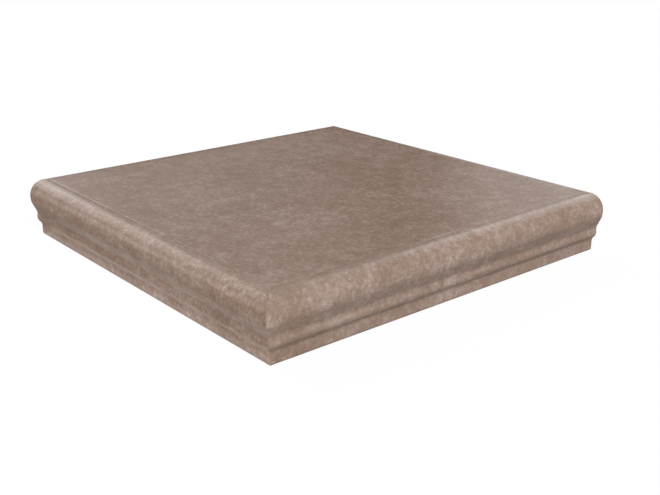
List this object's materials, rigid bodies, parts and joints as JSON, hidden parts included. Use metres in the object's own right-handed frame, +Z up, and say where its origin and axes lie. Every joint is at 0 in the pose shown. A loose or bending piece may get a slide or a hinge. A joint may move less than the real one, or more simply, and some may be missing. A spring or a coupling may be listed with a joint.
{
  "type": "corner stair tread tile",
  "caption": "Square porcelain tread tile with a moulded bullnose nosing bonded along adjoining edges and mitred at the outer corner; clads the outside corner of a step.",
  "frame": {"origin": "centre of the footprint, on the floor that the nosings stand on", "axes": "+Z up out of the tread surface; -Y out of the front nosing; +X out of the side nosing"},
  "size_m": [0.3152, 0.3152, 0.0452],
  "materials": {
    "porcelain": "satin"
  },
  "bodies": {
    "root": {"tread_tile": "porcelain", "front_nosing": "porcelain", "side_nosing": "porcelain"}
  },
  "joints": []
}
